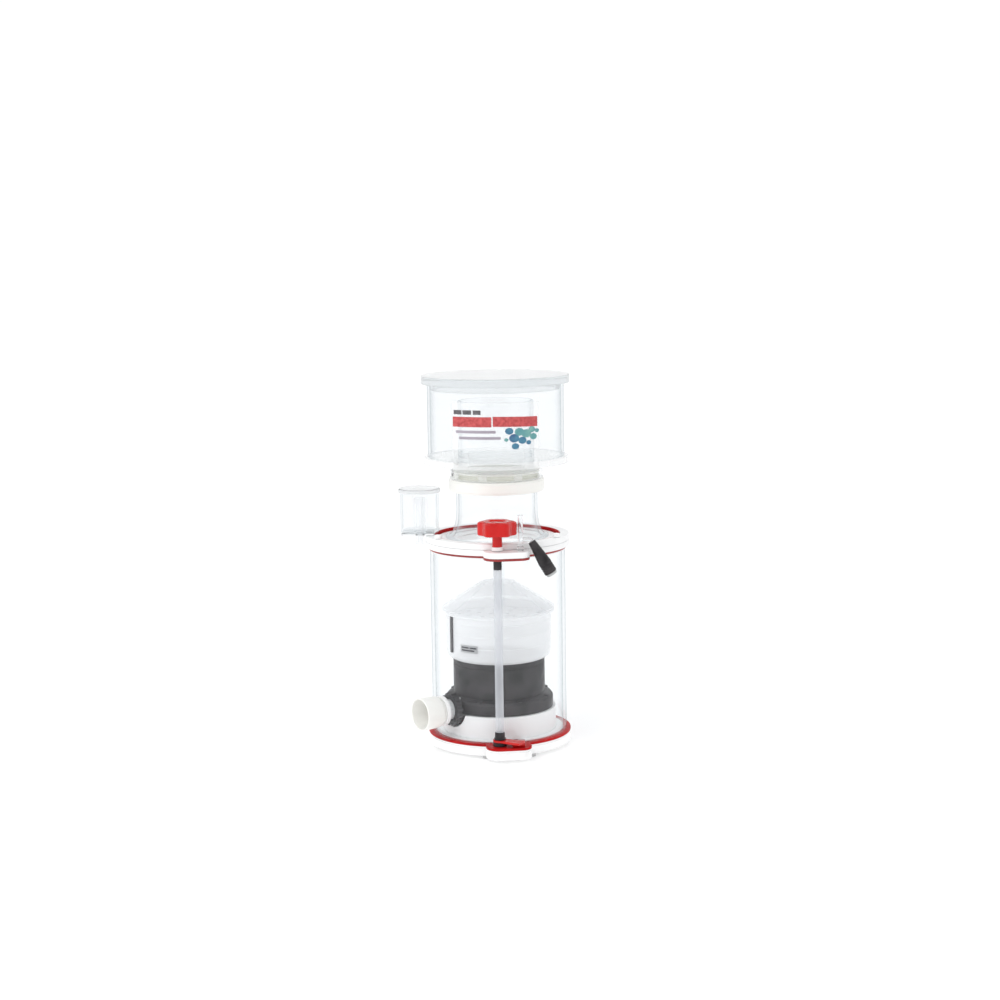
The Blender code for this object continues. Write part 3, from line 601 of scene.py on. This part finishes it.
def build_cup():
    """Lid, wall, riser and floor of the collection cup."""
    turned_for("cup_lid", lambda r, low, high: [
        (LIP_R - LIP_WALL, low), (LIP_R, low), (LIP_R, high - LID_DISC), (r, high - LID_DISC), (r, high),
        (0, high), (0, high - LID_DISC), (LIP_R - LIP_WALL, high - LID_DISC)])
    turned_for("cup_wall", sleeve(CUP_WALL))
    turned_for("cup_riser", sleeve(RISER_WALL))
    floor = turned_for("cup_floor", lambda r, low, high: [
        (RISER_BORE, low), (SPIGOT_R, low), (SPIGOT_R, high - FLOOR_DISC), (r, high - FLOOR_DISC), (r, high),
        (RISER_BORE, high)])
    barb, _, low, high = extents("drain_barb")
    cut(floor, lathe("drain_cutter", bar(DRAIN_HOLE, low, high + 30), MATERIALS["white"], upright(*barb), 32))


def bell_curve(neck_r, foot_r, low, high, steps=24):
    """The bell's flare, from its foot up to the straight neck, as an elliptical quarter arc."""
    points = []
    for i in range(steps + 1):
        angle = math.pi / 2 * i / steps
        points.append((foot_r - (foot_r - neck_r) * math.sin(angle), high - (high - low) * math.cos(angle)))
    return points


def build_neck():
    """Bell neck, its collar and the silicone seal on it."""
    _, foot, low, high = extents("neck_bell")
    neck_r = foot - 16.0
    bend = low + BELL_BEND
    outer = [(foot, low), (foot, low + BELL_FOOT)] + bell_curve(neck_r, BELL_FLARE_R, low + BELL_FOOT, bend)
    inner = bell_curve(neck_r - BELL_WALL, BELL_FLARE_R - 5, low, bend)[::-1]
    profile = rounded(outer + [(neck_r, high), (neck_r - BELL_WALL, high)] + inner, 0.6)
    stand_for(lathe("neck_bell_shell", profile, look_of("neck_bell")), "neck_bell")
    turned_for("neck_collar", lambda r, low, high: [
        (neck_r + 0.3, low), (r - 1, low), (r - 1, low + 2.5), (r, low + 3), (r, high - 2.5),
        (r - 0.8, high - 2), (r - 0.8, high), (neck_r + 0.3, high)])
    seal_bore = RISER_BORE + 0.2
    turned_for("neck_seal", lambda r, low, high: [
        (seal_bore, low), (r, low), (r, low + 3), (r - 1.2, low + 4), (r - 1.2, high - 4), (r, high - 3),
        (r, high), (seal_bore, high)])


def build_body():
    """Body tube with its suction hole, and the pump stand inside it."""
    _, r, low, high = extents("body_tube")
    rows = [low, SUCTION_Z - 22, SUCTION_Z + 22, high]
    profile = [(r - TUBE_WALL, z) for z in rows[::-1]] + [(r, z) for z in rows]
    tube = lathe("body_tube_shell", profile, look_of("body_tube"), None, 160)
    stand_for(cut(tube, suction_cutter(SUCTION_HOLE, 60, 130)), "body_tube")
    stand = turned_for("pump_stand", sleeve(STAND_WALL), 1.0)
    cut(stand, suction_cutter(SUCTION_R + 12, 50, 100))


def build_housing():
    """Pump housing with a groove near its top, and the screw bosses on its foot."""
    _, r, low, high = extents("pump_housing")
    body_r = r - HOUSING_FOOT
    groove, inner = body_r - 0.8, body_r - HOUSING_WALL
    profile = [(0, low), (r, low), (r, low + 15), (r - 3, low + 19), (body_r, low + 22), (body_r, high - 9),
               (groove, high - 8.4), (groove, high - 7), (body_r, high - 6.4), (body_r, high),
               (inner, high), (inner, low + HOUSING_WALL), (0, low + HOUSING_WALL)]
    housing = lathe("pump_housing_shell", rounded(profile, 0.7), look_of("pump_housing"))
    stand_for(cut(housing, suction_cutter(SUCTION_HOLE, 50, 100)), "pump_housing")
    foot, top, ring_r = low + 15, low + 21.2, body_r + 6.2
    profile = rounded([(0, foot), (4.2, foot), (4.2, top - 0.7), (3.4, top), (0, top)], 0.4)
    for i in range(HOUSING_SCREWS):
        angle = 2 * math.pi * (i + 0.5) / HOUSING_SCREWS
        place = upright(ring_r * math.cos(angle), ring_r * math.sin(angle))
        body_detail(lathe(f"housing_screw_{i + 1}", profile, MATERIALS["black"], place, 24), "black_plastic")


def build_drum():
    """Mixing drum with its moulded bands, a rating plate without text and a clip strip."""
    _, rim_r, low, high = extents("mixing_drum")
    drum_r, rim_low = rim_r - DRUM_RIM, high - 3.7
    inner = drum_r - DRUM_WALL
    profile = [(65, low), (70, low), (75.5, low + 4), (drum_r, low + 11), (drum_r, rim_low), (rim_r, rim_low),
               (rim_r, high), (inner, high), (inner, low + 12), (73, low + 7), (69, low + 3), (65, low + 3)]
    drum = lathe("mixing_drum_shell", rounded(profile, 1.6, 4), look_of("mixing_drum"))
    stand_for(drum, "mixing_drum")
    skin = drum_r + 0.02
    for i, (drop, depth) in enumerate(((9, 0.5), (26, 0.4), (44, 0.4))):
        top = rim_low - drop
        band = [(skin, top - 1.2), (drum_r + depth, top - 0.8), (drum_r + depth, top), (skin, top + 0.4)]
        body_detail(lathe(f"drum_band_{i + 1}", band, look_of("mixing_drum")), "frosted_acrylic")
    plate_low = low + PLATE_RISE
    plate_top = plate_low + 11
    patch = (drum_r + 0.1, 225, 247, plate_low, plate_top, plate_low, plate_top)
    body_detail(wrapped("rating_plate", patch, MATERIALS["ink_silver"], thickness=0.4), "label_film")
    for i, (start, end, rise) in enumerate(((226.5, 236, 6.5), (237.5, 245.5, 6.5), (226.5, 243, 2.5))):
        level = plate_low + rise
        patch = (drum_r + 0.5, start, end, level, level + 2, level, level + 2)
        body_detail(wrapped(f"rating_bar_{i + 1}", patch, MATERIALS["ink_black"], thickness=0.2), "label_film")
    patch = (drum_r + 0.2, 207.5, 211.5, low + 14, rim_low, low + 14, rim_low)
    body_detail(wrapped("drum_clip", patch, MATERIALS["worn_black"], 6, 2.2), "black_plastic")


def build_cone():
    """Cone that closes the drum's top and opens into a short throat."""
    _, rim_r, low, high = extents("drum_cone")
    brim = low + 3.5
    profile = [(CONE_FOOT, low), (rim_r, low), (rim_r, brim), (CONE_TOP, high), (CONE_THROAT, high),
               (CONE_THROAT, high - 1.5), (CONE_FOOT, brim - 1)]
    stand_for(lathe("drum_cone_shell", rounded(profile, 0.8), look_of("drum_cone")), "drum_cone")


def build_foot(disc):
    """Foot plate with the outlet's channel cut into it."""
    low, high = levels("foot_plate")
    foot = plate("foot_plate_shell", [lobed(disc)], low, high, look_of("foot_plate"), 0.7)
    x0, y0, x1, y1, floor = FOOT_CHANNEL
    channel = plate("channel_cutter", [rectangle(x0, y0, x1, y1)], floor, high + 5, MATERIALS["white"], 0.2)
    stand_for(cut(foot, channel), "foot_plate")


def build_trim(disc):
    """Base trim: a red plate over a white layer."""
    low, high = levels("base_trim")
    split = low + TRIM_WHITE
    slots = [rectangle(*INNER_SLOT), rectangle(*OUTLET)]
    stand_for(plate("base_trim_shell", [lobed(disc)] + slots, split, high, look_of("base_trim"), 0.5),
              "base_trim")
    backing = plate("base_trim_backing", [lobed(disc - 0.3)] + slots, low, split, MATERIALS["white"], 0.3)
    body_detail(backing, "white_pvc")


def build_seal_plate(disc, rod_hole):
    """Seal plate: a thin red plate over a white layer."""
    low, high = levels("seal_plate")
    split = high - SEAL_RED
    bore = circle(0, 0, RED_BORE, ROUND)
    loops = [lobed(disc - 4.5), bore, rod_hole]
    stand_for(plate("seal_plate_shell", loops, split, high, look_of("seal_plate"), 0.3), "seal_plate")
    loops = [circle(0, 0, disc - 4.8, ROUND), bore]
    body_detail(plate("seal_plate_backing", loops, low, split, MATERIALS["white"], 0.3), "white_pvc")


def build_flanges():
    """Foot plate, base trim, seal plate, clamp flange, cap plate and rim ring, with finer outlines."""
    disc = extents("rim_ring")[1]
    rod_hole = circle(ROD_LOBE[0], ROD_LOBE[1], ROD_HOLE, 32)
    port_hole = circle(*extents("port_tube")[0], PORT_HOLE, 32)
    gland_hole = circle(*extents("cable_gland")[0], GLAND_HOLE, 32)
    screw_holes = [circle(*extents(f"flange_screw_{number}")[0], SCREW_HOLE, 24) for number in (1, 2, 3)]
    bore = circle(0, 0, WHITE_BORE, ROUND)
    build_foot(disc)
    build_trim(disc)
    build_seal_plate(disc, rod_hole)
    loops = [lobed(disc), bore, rod_hole, port_hole, gland_hole] + screw_holes
    stand_for(plate("clamp_flange_shell", loops, *levels("clamp_flange"), look_of("clamp_flange"), 0.9),
              "clamp_flange")
    loops = [circle(0, 0, extents("cap_plate")[1], ROUND), bore, gland_hole]
    stand_for(plate("cap_plate_shell", loops, *levels("cap_plate"), look_of("cap_plate"), 0.4), "cap_plate")
    low, high = levels("rim_ring")
    loops = [circle(0, 0, disc, ROUND), circle(0, 0, RIM_BORE, ROUND)] + screw_holes
    rim = plate("rim_ring_shell", loops, low, high, look_of("rim_ring"), 0.9)
    relief = lathe("relief_cutter", bar(ROD_RELIEF, low - 5, high + 5), MATERIALS["white"],
                   upright(*ROD_LOBE[:2]), 48)
    stand_for(cut(rim, relief), "rim_ring")


def build_cap_liners():
    """White facing on the cap plate and the red liner inside the rim ring."""
    cap_top = levels("cap_plate")[1] + 0.05
    bore = WHITE_BORE - 0.1
    profile = [(bore - 0.9, cap_top - 3.55), (bore, cap_top - 3.55), (bore, cap_top), (RED_BORE, cap_top),
               (RED_BORE, cap_top + 0.2), (bore - 0.9, cap_top + 0.2)]
    body_detail(lathe("cap_facing", profile, MATERIALS["white"]), "white_pvc")
    outer, top = RIM_BORE - 0.1, levels("rim_ring")[1] - 0.3
    profile = rounded([(outer - 1.1, cap_top), (outer, cap_top), (outer, top), (outer - 1.1, top)], 0.3)
    body_detail(lathe("rim_liner", profile, MATERIALS["deep_red"]), "red_acrylic")


def build_knob_boss():
    """White boss on the flange round the knob's stem."""
    centre, _, low, _ = extents("valve_knob")
    bore, foot = KNOB_STEM + 0.3, low + 0.1
    profile = rounded([(bore, foot), (bore + 1.0, foot), (bore + 1.0, foot + 5.5), (bore, foot + 5.5)], 0.3)
    body_detail(lathe("knob_boss", profile, MATERIALS["white"], upright(*centre), 48), "white_pvc")


def build_floor_ring():
    """White ring on the trim between pump stand and body tube, open over the trim's inner slot."""
    trim_top = levels("base_trim")[1]
    near, far = extents("pump_stand")[1] + 0.3, extents("body_tube")[1] - TUBE_WALL - 0.2
    profile = [(near, trim_top + 0.05), (far, trim_top + 0.05), (far, trim_top + 1.2), (near, trim_top + 1.2)]
    ring = lathe("floor_ring", profile, MATERIALS["white"])
    slot = plate("slot_cutter", [rectangle(*INNER_SLOT)], trim_top - 3, trim_top + 5, MATERIALS["white"], 0.2)
    body_detail(cut(ring, slot), "white_pvc")


def build_knob():
    """Knob with soft lobes, a raised centre and a stem that is open for the spindle."""
    centre, reach, low, high = extents("valve_knob")
    head_low, mean = high - KNOB_HEAD, reach - LOBE_DEPTH
    profile = rounded([(SPINDLE_BORE, low), (KNOB_STEM, low), (KNOB_STEM, head_low), (mean, head_low),
                       (mean, high - 2), (mean - 4, high), (13, high), (12, high - 1.5), (0, high - 1.5),
                       (0, high - 5.5), (SPINDLE_BORE, high - 5.5)], 1.6, 4)
    knob = lathe("valve_knob_shell", profile, look_of("valve_knob"), upright(*centre), 144,
                 lambda angle: 1 + LOBE_DEPTH / mean * math.cos(KNOB_LOBES * angle))
    stand_for(knob, "valve_knob")


def build_rod():
    """Rod with its lower collar and bearing, and the coupling that joins it to the knob."""
    turned_for("valve_rod", bar, 0.4, 48)
    bore = 6.3
    turned_for("rod_collar", lambda r, low, high: [
        (bore, low), (r, low), (r, low + 2), (r - 1.2, low + 2.6), (r - 1.2, high - 2), (r - 2, high),
        (bore, high)], 0.4, 48)
    turned_for("foot_bearing", lambda r, low, high: [(bore, low), (r, low), (r, high), (bore, high)], 0.8, 48)
    shoulder, spindle_r = levels("seal_plate")[0] - 0.6, 3.0
    turned_for("rod_coupling", lambda r, low, high: [
        (0, low), (r, low), (r, shoulder), (spindle_r, shoulder), (spindle_r, high), (0, high)], 0.5, 48)


def build_silencer():
    """Silencer can with its lid and its core tube, which ends below in a hose tail."""
    bore = 6.5
    turned_for("silencer_can", lambda r, low, high: [
        (bore, low), (r, low), (r, high), (r - CAN_WALL, high), (r - CAN_WALL, low + 3), (bore, low + 3)],
               0.5, 96)
    turned_for("silencer_lid", lambda r, low, high: [
        (0, low), (r, low), (r, high - 1), (r - 1, high), (0, high)], 0.5, 96)
    turned_for("silencer_core", lambda r, low, high: [
        (4, low), (6.2, low), (6.2, low + 23), (r, low + 23), (r, high), (6, high), (6, low + 25),
        (4, low + 25)], 0.4, 48)


def build_air_port():
    """Port tube and the inner air pipe."""
    bore = extents("port_tube")[1] - 2.2
    turned_for("port_tube", lambda r, low, high: [
        (0, low), (3.1, low), (3.1, low + 8.4), (r, low + 8.4), (r, low + 13.4), (r - 0.7, low + 13.9),
        (r - 0.7, high), (bore, high), (bore, high - 25), (0, high - 25)], 0.4, 48)
    turned_for("air_pipe", sleeve(PIPE_WALL), 0.4, 48)


def build_muffler():
    """Tapered muffler with four ribs and its light tip, hanging from the elbow."""
    x, y = extents("port_tube")[0]
    flange_top = levels("clamp_flange")[1]
    line = aimed((x + MUFFLER_START[0], y, flange_top + MUFFLER_START[1]), MUFFLER_LINE)
    length = MUFFLER_LENGTH
    profile = [(0, 0), (5.0, 0), (5.4, 0.5), (6.2, 8), (7.6, 20), (9.2, 34)]
    for i in range(4):
        rib = 36 + 4 * i
        profile += [(9.3, rib), (9.3, rib + 2.6), (8.8, rib + 2.9), (8.8, rib + 3.7)]
    profile += [(9.35, length - 0.4), (9.0, length), (0, length)]
    stand_for(lathe("muffler_shell", rounded(profile, 0.3), look_of("muffler"), line, 64), "muffler")
    profile = rounded([(0, length + 0.3), (8.2, length + 0.3), (7.6, length + 4), (0, length + 4)], 0.6)
    stand_for(lathe("muffler_end_shell", profile, look_of("muffler_end"), line, 64), "muffler_end")


def build_suction():
    """Outer spout and washer on the suction line."""
    r, (near, far) = SUCTION_R + 0.3, SPOUT
    profile = [(r, near), (20, near), (20.6, near + 1), (23, near + 6), (24.5, far), (22, far),
               (20.5, near + 8), (18, near + 6), (r, near + 6)]
    spout = lathe("suction_spout_shell", rounded(profile, 0.7), look_of("suction_spout"), suction_axis(), 80)
    stand_for(spout, "suction_spout")
    near, far = WASHER
    profile = rounded([(r, near), (22, near), (22, far), (r, far)], 0.8)
    washer = lathe("wall_washer_shell", profile, look_of("wall_washer"), suction_axis(), 80)
    stand_for(washer, "wall_washer")


# ---- label ----------------------------------------------------------------------------------------
def dot(name, radius, angle, height, size, material, thickness=0.25, steps=28):
    """A printed oval dot on the cup's wall."""
    verts = []
    for layer in (0, thickness):
        for i in range(steps):
            turn = 2 * math.pi * i / steps
            swing = math.radians(angle) + size * math.cos(turn) / radius
            r = radius + layer
            verts.append((r * math.cos(swing), r * math.sin(swing), height + size * 0.8 * math.sin(turn)))
    faces = [list(range(steps)), list(range(steps, 2 * steps))]
    faces += [[i, (i + 1) % steps, steps + (i + 1) % steps, steps + i] for i in range(steps)]
    detail(mesh_object(name, verts, faces, material), "cup", "label_film")


def build_label_print():
    """Plain bars and a splash of dots on the cup's label; nothing on it can be read.
    Angles are counted from the front, and levels are shares of the label's height."""
    label_low, label_high = levels("cup_label")
    face = extents("cup_wall")[1] + 0.95
    height = label_high - label_low

    def stripe(name, start, end, bottom, top, look, rise=0.0):
        low, high = label_low + bottom * height, label_low + top * height
        patch = (face, FRONT + start, FRONT + end, low, high, low + rise, high + rise)
        detail(wrapped(name, patch, MATERIALS[look]), "cup", "label_film")

    for i, (start, end) in enumerate(((-36, -28.5), (-27.5, -20), (-18.5, -12))):
        stripe(f"label_top_bar_{i + 1}", start, end, 0.75, 0.84, "ink_dark")
    stripe("label_red_bar_left", -37, -3.4, 0.49, 0.70, "ink_red")
    stripe("label_red_bar_right", -2.2, 36, 0.50, 0.71, "ink_red", -1.6)
    for i, (bottom, end) in enumerate(((0.36, 0), (0.23, 4))):
        stripe(f"label_grey_bar_{i + 1}", -34 + 3 * i, end, bottom, bottom + 0.055, "ink_grey")
    dots = [(11, 0.40, 6.0, "blue"), (15, 0.25, 7.4, "blue"), (16, 0.08, 5.4, "blue"),
            (19.5, 0.38, 7.0, "teal"), (22, 0.20, 6.2, "blue"), (25.5, 0.34, 7.4, "teal"),
            (30.5, 0.42, 5.4, "teal"), (32, 0.27, 5.6, "teal"), (27.5, 0.15, 3.8, "blue"),
            (35.3, 0.39, 3.6, "teal"), (8.5, 0.22, 3.0, "teal")]
    for i, (angle, level, size, ink) in enumerate(dots):
        dot(f"label_dot_{i + 1}", face + 0.05 * i, FRONT + angle, label_low + level * height, size,
            MATERIALS["ink_" + ink])


# ---- floor, light and camera ----------------------------------------------------------------------
def link(name, data):
    """A new object in the scene's collection."""
    obj = bpy.data.objects.new(name, data)
    bpy.context.scene.collection.objects.link(obj)
    return obj


def build_floor():
    """Plain pale floor."""
    made, tree, shader = blank("pale_floor")
    tree.links.new(ramp_of(tree, noise_of(tree, 3), [(0.3, (0.90, 0.90, 0.90)), (0.7, (0.93, 0.93, 0.93))]),
                   shader.inputs["Base Color"])
    shader.inputs["Roughness"].default_value = 0.6
    shader.inputs["Specular IOR Level"].default_value = 0.1
    shader.inputs["Emission Color"].default_value = (1, 1, 1, 1)
    shader.inputs["Emission Strength"].default_value = 0.16
    mesh = bpy.data.meshes.new("floor")
    corners = [(x, y, 0) for x, y in rectangle(-FLOOR_HALF, -FLOOR_HALF, FLOOR_HALF, FLOOR_HALF)]
    mesh.from_pydata(corners, [], [(0, 1, 2, 3)])
    floor = link("floor", mesh)
    mesh.materials.append(made)
    floor.location.z = -0.0002


def build_world():
    """Even white surroundings, a little brighter behind the object than in front of it."""
    world = bpy.data.worlds.new("studio")
    bpy.context.scene.world = world
    world.use_nodes = True
    tree = world.node_tree
    place = tree.nodes.new("ShaderNodeTexCoord")
    split = tree.nodes.new("ShaderNodeSeparateXYZ")
    tree.links.new(place.outputs["Generated"], split.inputs["Vector"])
    background = tree.nodes["Background"]
    tree.links.new(spread_of(tree, split.outputs["Y"], 0.90, 1.03, -0.6, 0.2), background.inputs["Strength"])
    tree.links.new(ramp_of(tree, split.outputs["Z"], [(0.0, (1.0, 1.0, 1.0)), (1.0, (0.97, 0.985, 1.0))]),
                   background.inputs["Color"])


def build_light():
    """One large soft light above the front left."""
    light = bpy.data.lights.new("soft_box", "AREA")
    light.shape = "RECTANGLE"
    light.size, light.size_y = SOFT_BOX_SIZE
    light.energy = SOFT_BOX_WATTS
    lamp = link("soft_box", light)
    lamp.location = SOFT_BOX_AT
    lamp.rotation_euler = (Vector(SOFT_BOX_AIM) - lamp.location).to_track_quat("-Z", "Y").to_euler()


def build_camera():
    """Camera in front of the object, looking slightly down."""
    camera = bpy.data.cameras.new("camera")
    camera.lens = CAMERA_LENS
    camera.sensor_width = 36.0
    view = link("camera", camera)
    down, roll = math.radians(CAMERA_DOWN), math.radians(CAMERA_ROLL)
    view.matrix_world = (Matrix.Translation(CAMERA_AT) @ Matrix.Rotation(math.pi / 2 - down, 4, "X")
                         @ Matrix.Rotation(-roll, 4, "Z"))
    bpy.context.scene.camera = view


def build_stage():
    """Floor, surroundings, light, camera and render limits."""
    build_floor()
    build_world()
    build_light()
    build_camera()
    scene = bpy.context.scene
    scene.view_settings.view_transform = "Standard"
    scene.cycles.max_bounces = LIGHT_BOUNCES
    scene.cycles.transmission_bounces = LIGHT_BOUNCES
    scene.cycles.transparent_max_bounces = LIGHT_BOUNCES


def main():
    make_materials()
    build_stage()
    dress_nodes()
    build_cup()
    build_neck()
    build_body()
    build_housing()
    build_drum()
    build_cone()
    build_flanges()
    build_cap_liners()
    build_knob_boss()
    build_floor_ring()
    build_knob()
    build_rod()
    build_silencer()
    build_air_port()
    build_muffler()
    build_suction()
    build_label_print()


main()
